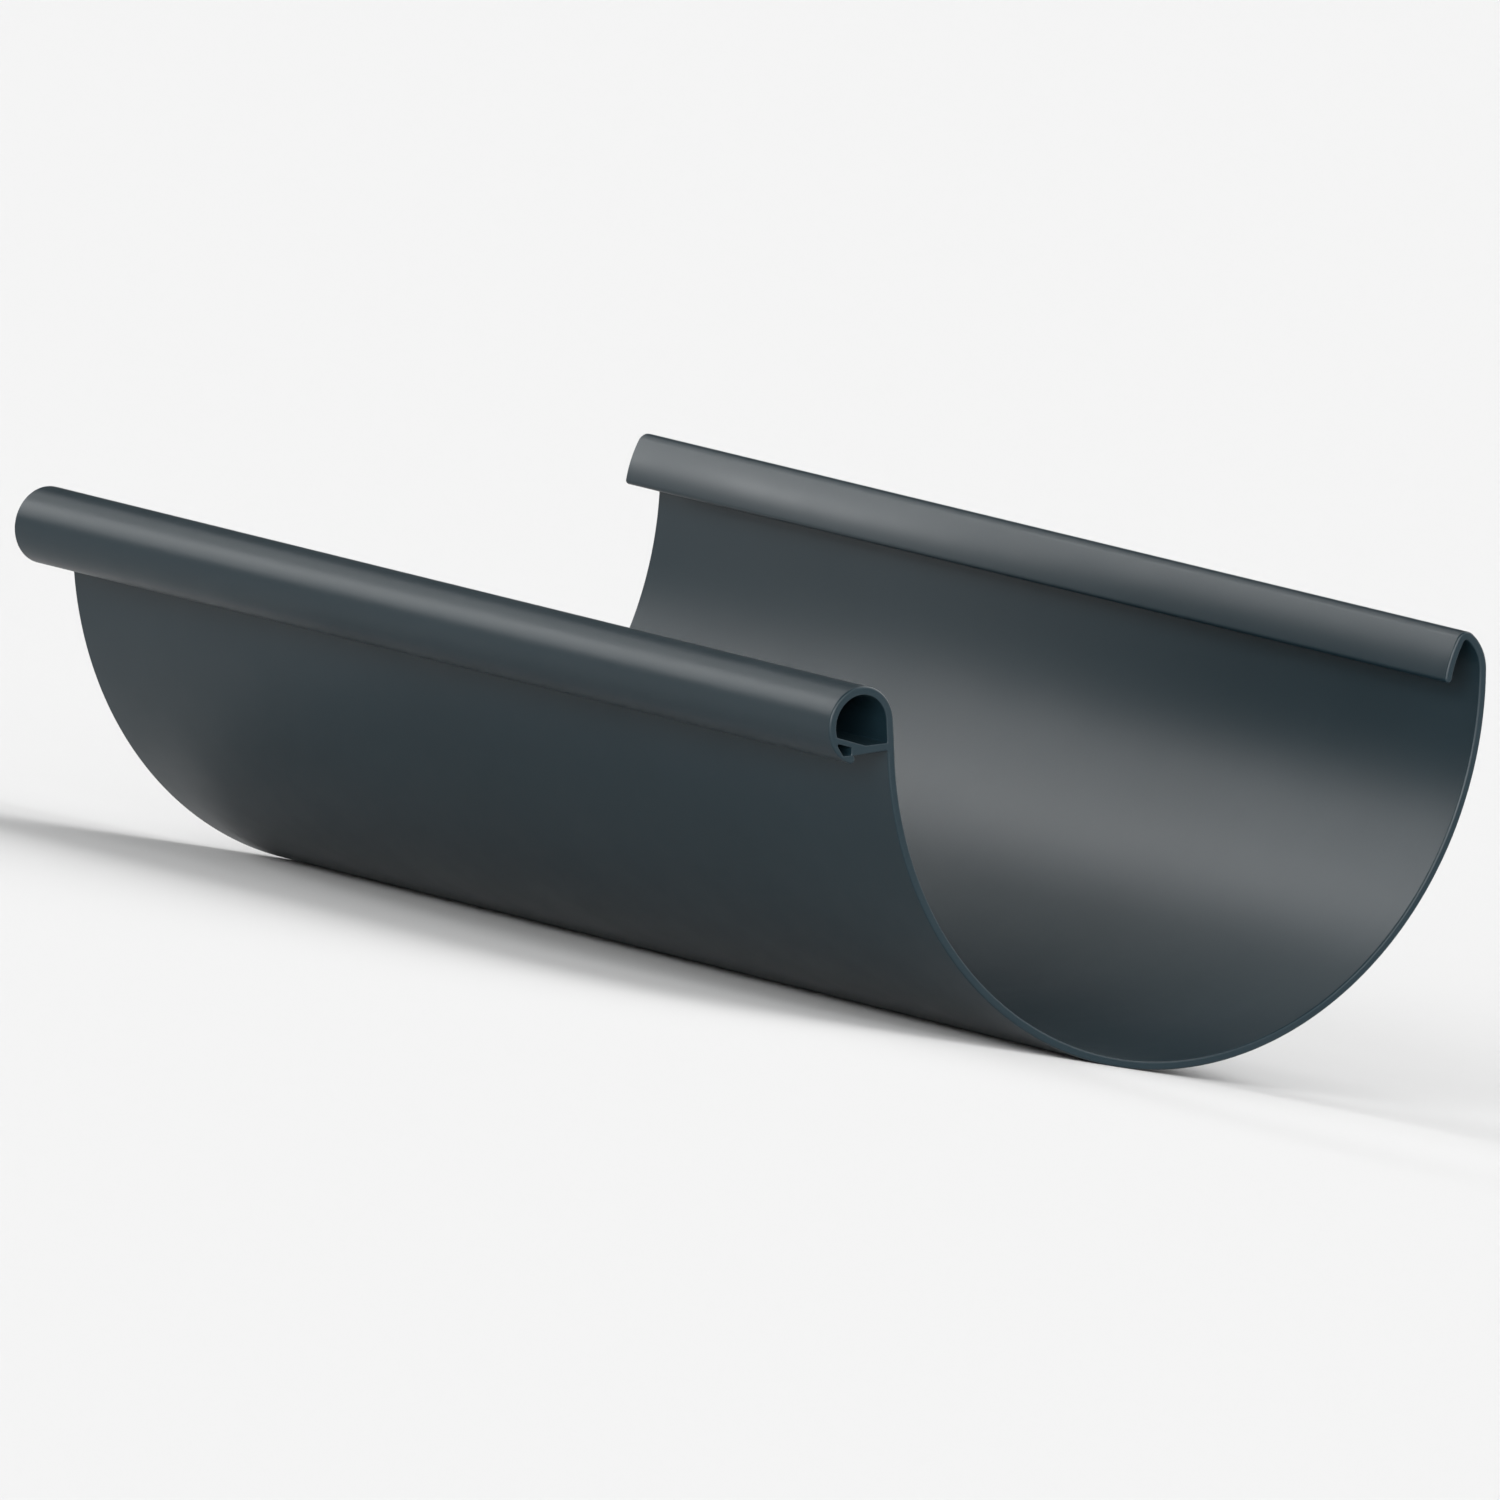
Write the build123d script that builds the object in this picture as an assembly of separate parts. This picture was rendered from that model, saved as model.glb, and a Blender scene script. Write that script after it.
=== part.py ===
from build123d import *
import math
import os

# All lengths are in millimetres and all angles in degrees.
# The section is drawn upright: its first axis runs across the channel, its second
# axis points up, and its origin is the centre of the round body. The bead is at the
# negative side. The drawn section is then turned about the length to the angle at
# which the piece comes to rest on a level floor, and lifted so that its round
# bottom touches the floor.

# Stock
stock_length = 285.0
body_radius = 75.0
wall = 1.75

# Front bead: a closed round tube along the left rim
bead_radius = 8.0
bead_centre_height = 4.05
front_wall_lean = 3.0
bead_end_angle = 250.0

# Inside of the bead: a flat floor beside the front wall, then a rising rib, and a
# small pocket between the rib and the bead's lower outside
floor_depth = 4.2
floor_run = 5.4
rib_slope = 18.5
rib_wall = 1.2
pocket_depth = 5.8
pocket_start = 2.5
pocket_slope = 57.0
pocket_wall = 1.1

# Rounding of the bead's inner corners and of the corner under its floor
corner_radius = 0.3
same_place = 0.001

# Rear rim: turned in over a crest and down as a lip with a round edge
rim_start_height = -1.0
rim_radius = 10.0
rim_turn = 50.0
crest_radius = 2.5
crest_turn = 99.0
lip_radius = 25.0
lip_turn = 19.5

half_wall = wall / 2
body_middle = body_radius - half_wall
body_centre = Vector(0, 0)


def unit(angle):
    """A step of one millimetre in the given direction."""
    return Vector(math.cos(math.radians(angle)), math.sin(math.radians(angle)))


def arc(centre, radius, start_angle, end_angle):
    """Part of a circle, between two directions seen from its centre."""
    return CenterArc(centre, radius, start_angle, end_angle - start_angle)


def crossing(first_point, first_step, second_point, second_step):
    """The point where two straight lines meet."""
    gap = second_point - first_point
    turn = first_step.X * second_step.Y - first_step.Y * second_step.X
    along = (gap.X * second_step.Y - gap.Y * second_step.X) / turn
    return first_point + first_step * along


# Rear rim: each bend starts where the one before it ends
rear_angle = math.degrees(math.asin(rim_start_height / body_middle))
crest_angle = rear_angle + rim_turn
lip_angle = crest_angle + crest_turn
lip_end_angle = lip_angle + lip_turn
rim_centre = unit(rear_angle) * (body_radius - rim_radius)
crest_centre = rim_centre + unit(crest_angle) * (rim_radius - crest_radius)
lip_centre = crest_centre + unit(lip_angle) * (crest_radius - lip_radius)
lip_edge_centre = lip_centre + unit(lip_end_angle) * (lip_radius - half_wall)

# Front wall: a short straight that leans out, from the round body up to the bead
front_angle = 180.0 + front_wall_lean
front_up = unit(90.0 + front_wall_lean)
foot_outer = unit(front_angle) * body_radius
foot_inner = unit(front_angle) * (body_radius - wall)
bead_line = foot_inner - unit(front_wall_lean) * bead_radius
rise = (bead_centre_height - bead_line.Y) / front_up.Y
bead_centre = bead_line + front_up * rise
head_outer = foot_outer + front_up * rise
head_inner = foot_inner + front_up * rise

# Closed end of the bead, rounded over and run into the floor's underside
bead_edge_centre = bead_centre + unit(bead_end_angle) * (bead_radius - half_wall)
level = Vector(1, 0)
floor_height = bead_centre.Y - floor_depth
floor_corner = crossing(Vector(0, floor_height), level, foot_outer, front_up)
under_corner = crossing(Vector(0, floor_height - wall), level, foot_outer, front_up)
under_turn = math.degrees(math.asin((under_corner.Y - bead_edge_centre.Y) / half_wall))
under_start = bead_edge_centre + unit(under_turn) * half_wall

outline = Wire([
    arc(body_centre, body_radius, front_angle, 360.0 + rear_angle),
    arc(rim_centre, rim_radius, rear_angle, crest_angle),
    arc(crest_centre, crest_radius, crest_angle, lip_angle),
    arc(lip_centre, lip_radius, lip_angle, lip_end_angle),
    arc(lip_edge_centre, half_wall, lip_end_angle, lip_end_angle + 180.0),
    arc(lip_centre, lip_radius - wall, lip_end_angle, lip_angle),
    arc(crest_centre, crest_radius - wall, lip_angle, crest_angle),
    arc(rim_centre, rim_radius - wall, crest_angle, rear_angle),
    arc(body_centre, body_radius - wall, 360.0 + rear_angle, front_angle),
    Line(foot_inner, head_inner),
    arc(bead_centre, bead_radius, front_wall_lean, bead_end_angle),
    arc(bead_edge_centre, half_wall, bead_end_angle, 360.0 + under_turn),
    Line(under_start, under_corner),
    Line(under_corner, foot_outer),
])

# Main chamber of the bead, above the floor and the rib
bore_radius = bead_radius - wall
floor_bend = floor_corner - level * floor_run
rib_step = unit(180.0 - rib_slope)
from_centre = floor_bend - bead_centre
half_way = -from_centre.dot(rib_step)
rib_run = half_way + math.sqrt(half_way ** 2 + bore_radius ** 2 - from_centre.dot(from_centre))
rib_end = floor_bend + rib_step * rib_run
rib_end_offset = rib_end - bead_centre
rib_end_angle = math.degrees(math.atan2(rib_end_offset.Y, rib_end_offset.X)) % 360.0
chamber = Wire([
    Line(floor_corner, head_outer),
    arc(bead_centre, bore_radius, front_wall_lean, rib_end_angle),
    Line(rib_end, floor_bend),
    Line(floor_bend, floor_corner),
])

# Pocket, between the rib's underside and the bead's lower outside
rib_under = floor_bend + unit(270.0 - rib_slope) * rib_wall
pocket_side = bead_centre - level * pocket_start
pocket_floor = bead_centre - Vector(0, pocket_depth)
pocket_step = unit(-pocket_slope)
pocket_face = bead_centre - unit(90.0 - pocket_slope) * (bead_radius - pocket_wall)
upright = Vector(0, 1)
pocket_corners = [
    crossing(rib_under, rib_step, pocket_side, upright),
    crossing(rib_under, rib_step, pocket_face, pocket_step),
    crossing(pocket_floor, level, pocket_face, pocket_step),
    crossing(pocket_floor, level, pocket_side, upright),
]
pocket = Wire.make_polygon(pocket_corners)

# Section, with its sharp inner corners rounded
rounded_corners = [under_corner, floor_corner, rib_end, *pocket_corners]


def is_rounded(vertex):
    """Whether a corner of the section is one of those that are rounded."""
    return any((vertex.center() - corner).length < same_place for corner in rounded_corners)


section = Face(outline, [chamber, pocket])
section = section.fillet_2d(corner_radius, section.vertices().filter_by(is_rounded))

# Turn to the angle of rest: the middle of the mass comes under the body's centre
balance = section.center(CenterOf.MASS)
rest_tilt = math.degrees(math.atan2(-balance.X, -balance.Y))
gutter = extrude(Plane.YZ * section, stock_length / 2, both=True)
gutter = Pos(0, 0, body_radius) * Rot(rest_tilt, 0, 0) * gutter

os.makedirs("parts", exist_ok=True)
export_step(gutter, "parts/gutter.step")
print("rest tilt", round(rest_tilt, 3), "section area", round(section.area, 2))
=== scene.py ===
import math
import bpy
from mathutils import Matrix, Vector
from mathutils.geometry import tessellate_polygon


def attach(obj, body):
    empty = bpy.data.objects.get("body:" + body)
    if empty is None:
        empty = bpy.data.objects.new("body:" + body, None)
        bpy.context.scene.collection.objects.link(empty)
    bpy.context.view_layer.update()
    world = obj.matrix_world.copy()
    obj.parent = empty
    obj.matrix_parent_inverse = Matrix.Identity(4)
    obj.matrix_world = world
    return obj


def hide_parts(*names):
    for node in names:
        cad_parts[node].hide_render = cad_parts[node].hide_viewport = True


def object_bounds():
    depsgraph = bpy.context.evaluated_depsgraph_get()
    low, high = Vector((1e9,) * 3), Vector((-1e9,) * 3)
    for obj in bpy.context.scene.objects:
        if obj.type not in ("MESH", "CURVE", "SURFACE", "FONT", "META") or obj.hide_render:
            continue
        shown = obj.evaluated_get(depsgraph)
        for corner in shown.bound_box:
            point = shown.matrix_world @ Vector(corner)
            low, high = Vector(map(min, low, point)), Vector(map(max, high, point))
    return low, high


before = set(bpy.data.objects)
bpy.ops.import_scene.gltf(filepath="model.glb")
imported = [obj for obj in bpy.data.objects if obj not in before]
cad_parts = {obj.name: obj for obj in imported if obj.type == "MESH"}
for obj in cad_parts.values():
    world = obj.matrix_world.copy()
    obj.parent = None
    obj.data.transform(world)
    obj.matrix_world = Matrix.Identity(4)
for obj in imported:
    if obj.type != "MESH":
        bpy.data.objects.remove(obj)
cad_low, cad_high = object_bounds()

# A short length of half-round gutter. The section is drawn upright in millimetres
# round the centre of its round body, as the solid's is. It is swept along the length
# in metres and turned to the angle at which the piece rests. Angles are in degrees.
MM = 0.001

# Section, from the solid's own sizes
BODY_RADIUS = 75.0
WALL = 1.75
BEAD_RADIUS = 8.0
BEAD_CENTRE_HEIGHT = 4.05
FRONT_WALL_LEAN = 3.0
BEAD_END_ANGLE = 250.0
FLOOR_DEPTH = 4.2
FLOOR_RUN = 5.4
RIB_SLOPE = 18.5
RIB_WALL = 1.2
POCKET_DEPTH = 5.8
POCKET_START = 2.5
POCKET_SLOPE = 57.0
POCKET_WALL = 1.1
CORNER_RADIUS = 0.3
RIM_START_HEIGHT = -1.0
RIM_RADIUS = 10.0
RIM_TURN = 50.0
CREST_RADIUS = 2.5
CREST_TURN = 99.0
LIP_RADIUS = 25.0
LIP_TURN = 19.5

# Cut ends, softened by the saw and the coating. Where the wall to the next hollow is
# thin, a rounded edge takes no more than this share of it.
OUTER_EDGE_RADIUS = 0.45
HOLE_EDGE_RADIUS = 0.25
EDGE_SHARE = 0.45
EDGE_STEPS = 5

# Mesh: pieces that the length is divided into, the largest gap between a drawn arc
# and the straight lines that stand for it, and the turn from which an edge is sharp
LENGTH_STEPS = 40
ARC_ERROR = 0.004
SHARP_TURN = 32.0

# Powder coat: a slightly uneven tone and sheen over the length of a few centimetres,
# and a fine orange peel, whose depth is in metres. Most of a noise pattern lies
# between its low and high.
COAT_DARKER = (0.0046, 0.0134, 0.0186, 1.0)
COAT_LIGHTER = (0.0058, 0.0152, 0.0208, 1.0)
COAT_SPECULAR = 0.3
TONE_PER_METRE = 26.0
TONE_DETAIL = 3.0
SHEEN_PER_METRE = 55.0
SHEEN_DETAIL = 4.0
SMOOTHEST = 0.375
ROUGHEST = 0.425
PEEL_PER_METRE = 900.0
PEEL_DETAIL = 1.5
PEEL_STRENGTH = 0.5
PEEL_DEPTH = 0.000006
NOISE_LOW = 0.3
NOISE_HIGH = 0.7

# Floor: half its side in metres, and its matt finish
FLOOR_HALF = 9.0
FLOOR_COLOUR = (0.6, 0.6, 0.6, 1.0)
FLOOR_ROUGHNESS = 0.9
FLOOR_SPECULAR = 0.1

# Camera, placed in metres round the upright section and turned with it to its rest.
# Its lens and sensor are in millimetres.
VIEW_AZIMUTH = 54.19
VIEW_ELEVATION = 10.30
PICTURE_WIDTH = 0.3058
LOOK_AT = Vector((0.0, -0.0065, -0.0299))
LENS = 1600.0
SENSOR = 36.0
NEAREST_SEEN = 0.1
FARTHEST_SEEN = 60.0

# Soft far lights: name, then azimuth, elevation and spread in degrees, then strength.
# Azimuth 0 is in front of the bead, at -Y, and 90 at the near cut end, at +X.
LIGHTS = (
    ("front_fill", 34.0, 6.0, 40.0, 4.7),
    ("near_fill", 65.0, 3.0, 30.0, 1.2),
    ("side_fill", 84.0, 18.0, 32.0, 2.1),
    ("side_high", 65.0, 38.0, 34.0, 0.3),
    ("main_low", 276.0, 16.0, 12.0, 1.22),
    ("main_front", 312.0, 16.0, 12.0, 0.4),
    ("main_middle", 264.0, 26.0, 14.0, 0.24),
    ("main_high", 292.0, 28.0, 18.0, 0.2),
    ("top_back", 256.0, 50.0, 18.0, 0.07),
    ("rear_fill", 168.0, 40.0, 80.0, 2.6),
    ("rear_key", 200.0, 44.0, 50.0, 0.9),
)
SURROUND_STRENGTH = 0.05

# Small strip light, in metres and watts, aimed just above and beyond the far end of
# the rear lip, so that only the edge of its beam falls on it
STRIP_LENGTH = 0.15
STRIP_WIDTH = 0.02
STRIP_SPREAD = 12.4
STRIP_POWER = 0.0058
STRIP_AZIMUTH = 306.0
STRIP_ELEVATION = 5.0
STRIP_TARGET = Vector((-0.155, 0.0635, 0.116))
STRIP_DISTANCE = 0.35


# Drawing in the plane of the section

def unit(angle):
    """A step of one millimetre in the given direction."""
    return Vector((math.cos(math.radians(angle)), math.sin(math.radians(angle))))


def angle_of(step):
    """The direction of a step, in degrees from 0 to 360."""
    return math.degrees(math.atan2(step.y, step.x)) % 360.0


def arc(centre, radius, start_angle, end_angle):
    """Points along part of a circle, as many as its size needs, without the last."""
    sweep = end_angle - start_angle
    step = math.degrees(2 * math.acos(1 - ARC_ERROR / radius))
    count = max(2, math.ceil(abs(sweep) / step))
    return [centre + unit(start_angle + sweep * i / count) * radius for i in range(count)]


def short_arc(centre, start, end):
    """Points along the shorter way round a centre from start to end, with both."""
    start_angle = angle_of(start - centre)
    sweep = (angle_of(end - centre) - start_angle + 180.0) % 360.0 - 180.0
    return [*arc(centre, (start - centre).length, start_angle, start_angle + sweep), end]


def crossing(first_point, first_step, second_point, second_step):
    """The point where two straight lines meet."""
    gap = second_point - first_point
    turn = first_step.cross(second_step)
    return first_point + first_step * (gap.cross(second_step) / turn)


def way_out(start, step, centre, radius):
    """The point where a straight line from start leaves a circle."""
    offset = start - centre
    half_way = -offset.dot(step)
    run = half_way + math.sqrt(half_way ** 2 + radius ** 2 - offset.dot(offset))
    return start + step * run


def rounded(before, corner, after):
    """Points of the arc that rounds a corner between two straight sides."""
    first = (before - corner).normalized()
    second = (after - corner).normalized()
    half_corner = first.angle(second) / 2
    centre = corner + (first + second).normalized() * (CORNER_RADIUS / math.sin(half_corner))
    back = CORNER_RADIUS / math.tan(half_corner)
    return short_arc(centre, corner + first * back, corner + second * back)


def with_neighbours(loop):
    """Each point of a closed loop, between the one before it and the one after."""
    return zip(loop[-1:] + loop[:-1], loop, loop[1:] + loop[:1])


def sides_of(loop):
    """The straight sides of a closed loop, each as its start and its end."""
    return zip(loop, loop[1:] + loop[:1])


def signed_area(loop):
    """A closed loop's area, positive if it runs against the clock."""
    return sum(a.cross(b) for a, b in sides_of(loop)) / 2


def area_moment(loop):
    """A closed loop's area times the place of its middle."""
    parts = [(a + b) * a.cross(b) / 6 for a, b in sides_of(loop)]
    return sum(parts, Vector((0.0, 0.0)))


def distance_to_side(point, start, end):
    """How far a point is from a straight side."""
    side = end - start
    along = max(0.0, min(1.0, (point - start).dot(side) / side.length_squared))
    return (start + side * along - point).length


# The gutter's section

def section_loops():
    """The outline and the two hollows of the bead, each as a closed row of points."""
    half_wall = WALL / 2
    body_centre = Vector((0.0, 0.0))
    level = Vector((1.0, 0.0))
    upright = Vector((0.0, 1.0))

    # Rear rim: each bend starts where the one before it ends
    rear_angle = math.degrees(math.asin(RIM_START_HEIGHT / (BODY_RADIUS - half_wall)))
    crest_angle = rear_angle + RIM_TURN
    lip_angle = crest_angle + CREST_TURN
    lip_end_angle = lip_angle + LIP_TURN
    rim_centre = unit(rear_angle) * (BODY_RADIUS - RIM_RADIUS)
    crest_centre = rim_centre + unit(crest_angle) * (RIM_RADIUS - CREST_RADIUS)
    lip_centre = crest_centre + unit(lip_angle) * (CREST_RADIUS - LIP_RADIUS)
    lip_edge_centre = lip_centre + unit(lip_end_angle) * (LIP_RADIUS - half_wall)

    # Front wall, up to the bead
    front_angle = 180.0 + FRONT_WALL_LEAN
    front_up = unit(90.0 + FRONT_WALL_LEAN)
    foot_outer = unit(front_angle) * BODY_RADIUS
    foot_inner = unit(front_angle) * (BODY_RADIUS - WALL)
    bead_line = foot_inner - unit(FRONT_WALL_LEAN) * BEAD_RADIUS
    rise = (BEAD_CENTRE_HEIGHT - bead_line.y) / front_up.y
    bead_centre = bead_line + front_up * rise
    head_outer = foot_outer + front_up * rise

    # Closed end of the bead, run into the underside of its floor
    bead_edge_centre = bead_centre + unit(BEAD_END_ANGLE) * (BEAD_RADIUS - half_wall)
    floor_height = bead_centre.y - FLOOR_DEPTH
    floor_corner = crossing(upright * floor_height, level, foot_outer, front_up)
    under_corner = crossing(upright * (floor_height - WALL), level, foot_outer, front_up)
    under_turn = math.degrees(math.asin((under_corner.y - bead_edge_centre.y) / half_wall))
    under_start = bead_edge_centre + unit(under_turn) * half_wall

    outline = [
        *arc(body_centre, BODY_RADIUS, front_angle, 360.0 + rear_angle),
        *arc(rim_centre, RIM_RADIUS, rear_angle, crest_angle),
        *arc(crest_centre, CREST_RADIUS, crest_angle, lip_angle),
        *arc(lip_centre, LIP_RADIUS, lip_angle, lip_end_angle),
        *arc(lip_edge_centre, half_wall, lip_end_angle, lip_end_angle + 180.0),
        *arc(lip_centre, LIP_RADIUS - WALL, lip_end_angle, lip_angle),
        *arc(crest_centre, CREST_RADIUS - WALL, lip_angle, crest_angle),
        *arc(rim_centre, RIM_RADIUS - WALL, crest_angle, rear_angle),
        *arc(body_centre, BODY_RADIUS - WALL, 360.0 + rear_angle, front_angle),
        foot_inner,
        *arc(bead_centre, BEAD_RADIUS, FRONT_WALL_LEAN, BEAD_END_ANGLE),
        *arc(bead_edge_centre, half_wall, BEAD_END_ANGLE, 360.0 + under_turn),
        under_start,
        *rounded(under_start, under_corner, foot_outer),
    ]

    # Main chamber of the bead, above the floor and the rib
    bore_radius = BEAD_RADIUS - WALL
    floor_bend = floor_corner - level * FLOOR_RUN
    rib_step = unit(180.0 - RIB_SLOPE)
    rib_up = unit(90.0 - RIB_SLOPE)
    above_rib = floor_bend + rib_up * CORNER_RADIUS
    rib_end_centre = way_out(above_rib, rib_step, bead_centre, bore_radius - CORNER_RADIUS)
    rib_end_angle = angle_of(rib_end_centre - bead_centre)
    bore_end = bead_centre + unit(rib_end_angle) * bore_radius
    chamber = [
        *rounded(floor_bend, floor_corner, head_outer),
        *arc(bead_centre, bore_radius, FRONT_WALL_LEAN, rib_end_angle),
        *short_arc(rib_end_centre, bore_end, rib_end_centre - rib_up * CORNER_RADIUS),
        floor_bend,
    ]

    # Pocket, between the rib's underside and the bead's lower outside
    rib_under = floor_bend - rib_up * RIB_WALL
    pocket_side = bead_centre - level * POCKET_START
    pocket_floor = bead_centre - upright * POCKET_DEPTH
    pocket_step = unit(-POCKET_SLOPE)
    pocket_face = bead_centre - unit(90.0 - POCKET_SLOPE) * (BEAD_RADIUS - POCKET_WALL)
    pocket_corners = [
        crossing(rib_under, rib_step, pocket_side, upright),
        crossing(rib_under, rib_step, pocket_face, pocket_step),
        crossing(pocket_floor, level, pocket_face, pocket_step),
        crossing(pocket_floor, level, pocket_side, upright),
    ]
    pocket = []
    for before, corner, after in with_neighbours(pocket_corners):
        pocket += rounded(before, corner, after)
    return outline, chamber, pocket


def solid_on_left(loop, is_hole):
    """The loop, run so that the solid lies to its left."""
    return loop if (signed_area(loop) < 0) == is_hole else loop[::-1]


def turn_to_rest(loops):
    """The turn and lift that bring the upright section to its rest on the floor: the
    middle of the mass comes under the centre of the body."""
    balance = sum((area_moment(loop) for loop in loops), Vector((0.0, 0.0)))
    tilt = math.atan2(-balance.x, -balance.y)
    lift = Matrix.Translation((0.0, 0.0, BODY_RADIUS * MM))
    return lift @ Matrix.Rotation(tilt, 4, "X")


# The sweep along the length, with its rounded cut ends

def edge_insets(loop, others, edge_radius):
    """How far each point of a loop moves in at the cut ends: the edge's radius, or a
    share of the way to the nearest other loop where the wall is thinner than that."""
    sides = [side for other in others for side in sides_of(other)]
    gaps = [min(distance_to_side(point, *side) for side in sides) for point in loop]
    return [min(edge_radius, EDGE_SHARE * gap) for gap in gaps]


def moved_into_solid(loop, insets):
    """The loop with each point moved into the solid by its own inset."""
    moved = []
    for (before, point, after), inset in zip(with_neighbours(loop), insets):
        first = (point - before).normalized().orthogonal()
        second = (after - point).normalized().orthogonal()
        moved.append(point + (first + second).normalized() * inset)
    return moved


def stations(edge_radius):
    """Places along the length, each with the share of the cut end's inset it has."""
    end = (cad_high.x - cad_low.x) / 2
    radius = edge_radius * MM
    turns = [math.pi / 2 * (1 - step / EDGE_STEPS) for step in range(EDGE_STEPS + 1)]
    edge = [(radius * (1 - math.sin(turn)), 1 - math.cos(turn)) for turn in turns]
    straight = end - radius
    along = [-straight + 2 * straight * step / LENGTH_STEPS for step in range(1, LENGTH_STEPS)]
    far_end = [(-end + back, share) for back, share in edge]
    near_end = [(end - back, share) for back, share in reversed(edge)]
    return far_end + [(place, 0.0) for place in along] + near_end


def wall_faces(start, size, rows):
    """The four-sided faces between neighbouring rows of points round a loop."""
    faces = []
    for row in range(rows - 1):
        low = start + row * size
        for i in range(size):
            after = (i + 1) % size
            faces.append((low + i, low + after, low + size + after, low + size + i))
    return faces


def cap_faces(corners, rims, is_far_end):
    """The triangles that close a cut end between its rims, all facing outward."""
    flat = [i for rim in rims for i in rim]
    flat_rims = [[Vector(corners[i][1:]).to_3d() for i in rim] for rim in rims]
    faces = []
    for triangle in tessellate_polygon(flat_rims):
        face = [flat[i] for i in triangle]
        a, b, c = (Vector(corners[i][1:]) for i in face)
        if ((b - a).cross(c - a) > 0) == is_far_end:
            face.reverse()
        faces.append(face)
    return faces


def new_object(name, data):
    """An object with the given data, in the scene."""
    made = bpy.data.objects.new(name, data)
    bpy.context.scene.collection.objects.link(made)
    return made


def swept_gutter(loops, to_rest):
    """The section swept along the length, with its cut ends rounded and closed."""
    corners = []
    faces = []
    far_rims = []
    near_rims = []
    edge_radii = (OUTER_EDGE_RADIUS, HOLE_EDGE_RADIUS, HOLE_EDGE_RADIUS)
    for loop, edge_radius in zip(loops, edge_radii):
        size = len(loop)
        others = [other for other in loops if other is not loop]
        insets = edge_insets(loop, others, edge_radius)
        places = stations(edge_radius)
        start = len(corners)
        for place, share in places:
            moved = moved_into_solid(loop, [inset * share for inset in insets])
            corners += [(place, point.x * MM, point.y * MM) for point in moved]
        faces += wall_faces(start, size, len(places))
        far_rims.append(range(start, start + size))
        near_rims.append(range(len(corners) - size, len(corners)))
    faces += cap_faces(corners, far_rims, True)
    faces += cap_faces(corners, near_rims, False)
    mesh = bpy.data.meshes.new("gutter_profile")
    mesh.from_pydata([to_rest @ Vector(corner) for corner in corners], [], faces)
    mesh.validate()
    mesh.polygons.foreach_set("use_smooth", [True] * len(mesh.polygons))
    mesh.set_sharp_from_angle(angle=math.radians(SHARP_TURN))
    made = new_object("gutter_profile", mesh)
    weighted = made.modifiers.new("even_normals", "WEIGHTED_NORMAL")
    weighted.keep_sharp = True
    return made


# The finishes

def new_material(name):
    """An empty node material, with its nodes and links."""
    material = bpy.data.materials.new(name)
    material.use_nodes = True
    tree = material.node_tree
    return material, tree.nodes, tree.links


def noise(nodes, links, place, per_metre, detail):
    """A noise pattern fixed to the piece."""
    node = nodes.new("ShaderNodeTexNoise")
    node.inputs["Scale"].default_value = per_metre
    node.inputs["Detail"].default_value = detail
    links.new(place.outputs["Object"], node.inputs["Vector"])
    return node


def spread(nodes, links, pattern, low, high):
    """A noise pattern's usual range, mapped to low and high."""
    node = nodes.new("ShaderNodeMapRange")
    node.inputs["From Min"].default_value = NOISE_LOW
    node.inputs["From Max"].default_value = NOISE_HIGH
    node.inputs["To Min"].default_value = low
    node.inputs["To Max"].default_value = high
    links.new(pattern.outputs["Fac"], node.inputs["Value"])
    return node


def powder_coat():
    """Satin anthracite powder coat: fine orange peel and a slightly uneven sheen."""
    material, nodes, links = new_material("anthracite_powder_coat")
    surface = nodes["Principled BSDF"]
    place = nodes.new("ShaderNodeTexCoord")
    surface.inputs["Specular IOR Level"].default_value = COAT_SPECULAR
    tone = noise(nodes, links, place, TONE_PER_METRE, TONE_DETAIL)
    shade = spread(nodes, links, tone, 0.0, 1.0)
    mix = nodes.new("ShaderNodeMix")
    mix.data_type = "RGBA"
    mix.inputs["A"].default_value = COAT_DARKER
    mix.inputs["B"].default_value = COAT_LIGHTER
    links.new(shade.outputs["Result"], mix.inputs["Factor"])
    links.new(mix.outputs["Result"], surface.inputs["Base Color"])
    sheen = noise(nodes, links, place, SHEEN_PER_METRE, SHEEN_DETAIL)
    rough = spread(nodes, links, sheen, SMOOTHEST, ROUGHEST)
    links.new(rough.outputs["Result"], surface.inputs["Roughness"])
    peel = noise(nodes, links, place, PEEL_PER_METRE, PEEL_DETAIL)
    bump = nodes.new("ShaderNodeBump")
    bump.inputs["Strength"].default_value = PEEL_STRENGTH
    bump.inputs["Distance"].default_value = PEEL_DEPTH
    links.new(peel.outputs["Fac"], bump.inputs["Height"])
    links.new(bump.outputs["Normal"], surface.inputs["Normal"])
    return material


def matt_pale():
    """The floor's plain matt finish."""
    material, nodes, _ = new_material("pale_floor")
    surface = nodes["Principled BSDF"]
    surface.inputs["Base Color"].default_value = FLOOR_COLOUR
    surface.inputs["Roughness"].default_value = FLOOR_ROUGHNESS
    surface.inputs["Specular IOR Level"].default_value = FLOOR_SPECULAR
    return material


# The floor, the lights and the camera

def plain_floor():
    """A pale matt floor under the piece."""
    half = FLOOR_HALF
    corners = [(-half, -half, 0), (half, -half, 0), (half, half, 0), (-half, half, 0)]
    mesh = bpy.data.meshes.new("pale_floor")
    mesh.from_pydata(corners, [], [(0, 1, 2, 3)])
    mesh.materials.append(matt_pale())
    new_object("pale_floor", mesh)


def towards(azimuth, elevation):
    """The direction from the piece to something at an azimuth and an elevation."""
    a, e = math.radians(azimuth), math.radians(elevation)
    return Vector((math.sin(a) * math.cos(e), -math.cos(a) * math.cos(e), math.sin(e)))


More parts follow.
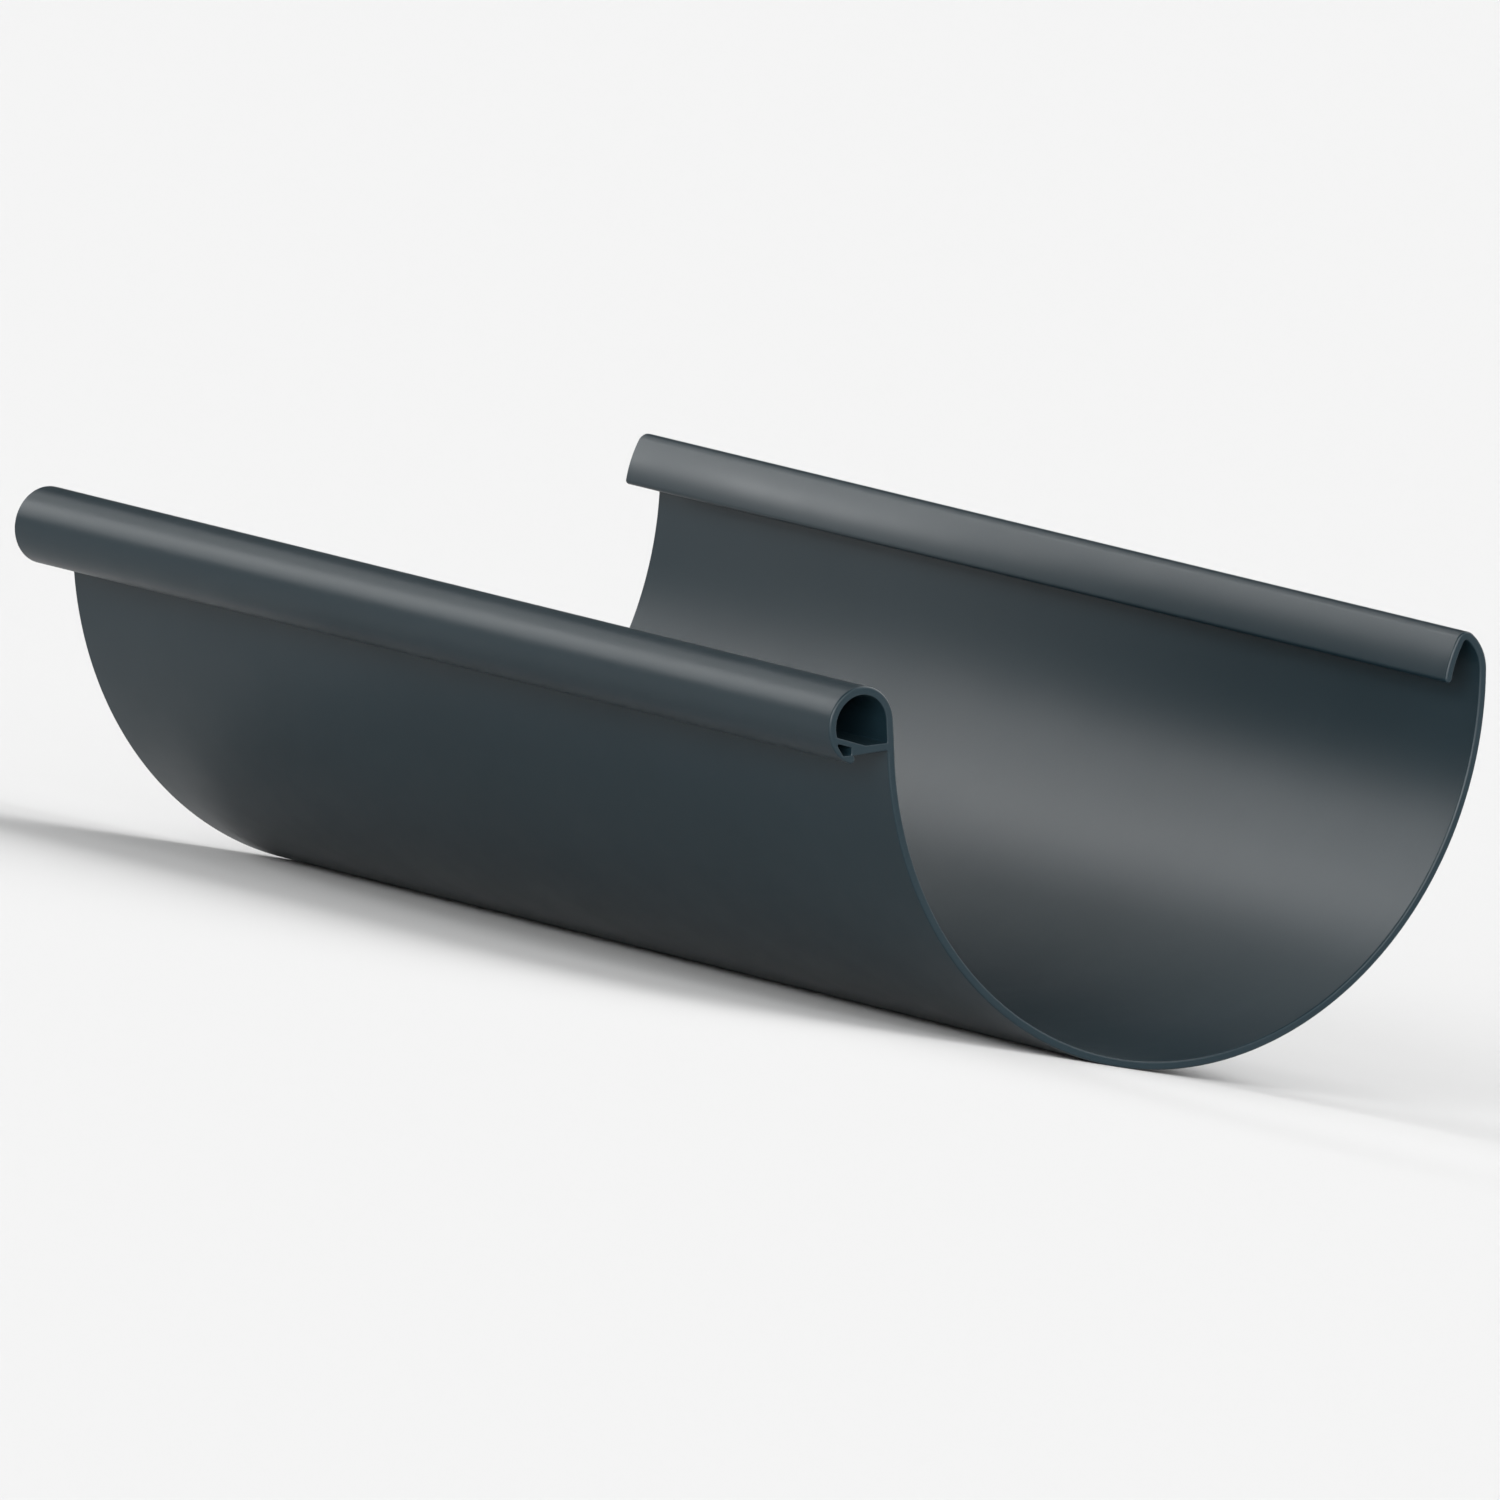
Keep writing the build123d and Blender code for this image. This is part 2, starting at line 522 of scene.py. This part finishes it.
def aimed_lamp(light, direction):
    """A lamp that shines from the given direction."""
    lamp = new_object(light.name, light)
    lamp.rotation_mode = "QUATERNION"
    lamp.rotation_quaternion = direction.to_track_quat("Z", "Y")
    return lamp


def soft_sun(name, azimuth, elevation, softness, strength):
    """A far, soft light on the piece."""
    light = bpy.data.lights.new(name, "SUN")
    light.angle = math.radians(softness)
    light.energy = strength
    aimed_lamp(light, towards(azimuth, elevation))


def lip_strip():
    """A small gridded soft box beyond the far end, which grazes the rear lip there."""
    light = bpy.data.lights.new("lip_strip", "AREA")
    light.shape = "RECTANGLE"
    light.size = STRIP_LENGTH
    light.size_y = STRIP_WIDTH
    light.spread = math.radians(STRIP_SPREAD)
    light.energy = STRIP_POWER
    direction = towards(STRIP_AZIMUTH, STRIP_ELEVATION)
    lamp = aimed_lamp(light, direction)
    lamp.location = STRIP_TARGET + direction * STRIP_DISTANCE
    lamp.visible_camera = False


def faint_surround():
    """An even, faint white surround."""
    world = bpy.data.worlds.new("faint_surround")
    world.use_nodes = True
    back = world.node_tree.nodes["Background"]
    back.inputs["Color"].default_value = (1.0, 1.0, 1.0, 1.0)
    back.inputs["Strength"].default_value = SURROUND_STRENGTH
    bpy.context.scene.world = world


def photo_camera(to_rest):
    """A long lens from the photograph's side, turned with the piece to its rest."""
    azimuth = math.radians(VIEW_AZIMUTH)
    right = Vector((math.cos(azimuth), math.sin(azimuth), 0.0))
    back = towards(VIEW_AZIMUTH, VIEW_ELEVATION)
    up = back.cross(right)
    optics = bpy.data.cameras.new("photo_camera")
    optics.lens = LENS
    optics.sensor_width = SENSOR
    optics.clip_start = NEAREST_SEEN
    optics.clip_end = FARTHEST_SEEN
    camera = new_object("photo_camera", optics)
    distance = PICTURE_WIDTH * LENS / SENSOR
    turn = Matrix((right, up, back)).transposed().to_4x4()
    camera.matrix_world = to_rest @ Matrix.Translation(LOOK_AT + back * distance) @ turn
    bpy.context.scene.camera = camera


outline, chamber, pocket = section_loops()
loops = [solid_on_left(outline, False), solid_on_left(chamber, True), solid_on_left(pocket, True)]
to_rest = turn_to_rest(loops)

gutter = swept_gutter(loops, to_rest)
gutter.data.materials.append(powder_coat())
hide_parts("gutter")
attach(gutter, "root")

plain_floor()
for light in LIGHTS:
    soft_sun(*light)
lip_strip()
faint_surround()
photo_camera(to_rest)
bpy.context.scene.view_settings.view_transform = "Standard"
